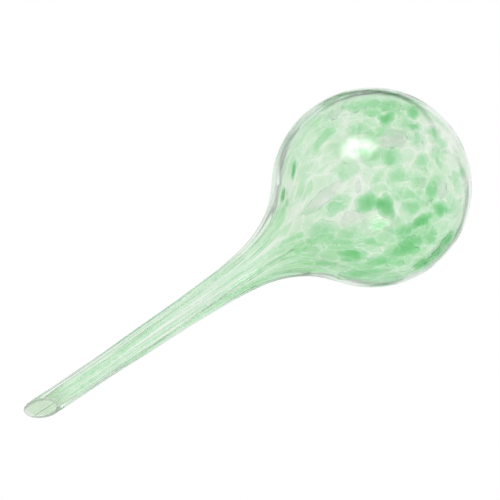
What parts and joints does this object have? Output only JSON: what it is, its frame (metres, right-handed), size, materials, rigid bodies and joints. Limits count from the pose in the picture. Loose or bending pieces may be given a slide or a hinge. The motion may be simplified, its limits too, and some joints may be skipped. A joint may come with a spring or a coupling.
{
  "type": "watering globe",
  "caption": "Blown glass plant watering globe: a hollow round bulb drawn out to a long thin stem with a slant-cut open tip, mottled pale green and white.",
  "frame": {"origin": "on the globe's long axis, level with the toe of the slanted mouth, which is the lowest point of the upright globe", "axes": "+Z along the long axis from the mouth to the crown of the bulb; the toe of the slanted mouth, where it reaches lowest, is turned 25 degrees from +Y towards -X, and the mouth opens away from it and down"},
  "size_m": [0.08, 0.08, 0.206],
  "materials": {
    "clear_inner": "clear, fire-polished",
    "clear_casing": "clear, fire-polished",
    "green_frit": "clear pale green, soft edges",
    "white_frit": "milky white, sharp edges",
    "green_streak": "clear pale green, drawn out lengthwise",
    "white_streak": "milky white, drawn out lengthwise"
  },
  "bodies": {
    "root": {"inner_gather": "clear_inner", "outer_casing": "clear_casing", "green_frit_crown": "green_frit", "green_frit_belly": "green_frit", "green_frit_shoulder": "green_frit", "white_frit": "white_frit", "green_neck_streaks": "green_streak", "green_stem_streaks": "green_streak", "white_stem_streaks": "white_streak"}
  },
  "joints": []
}
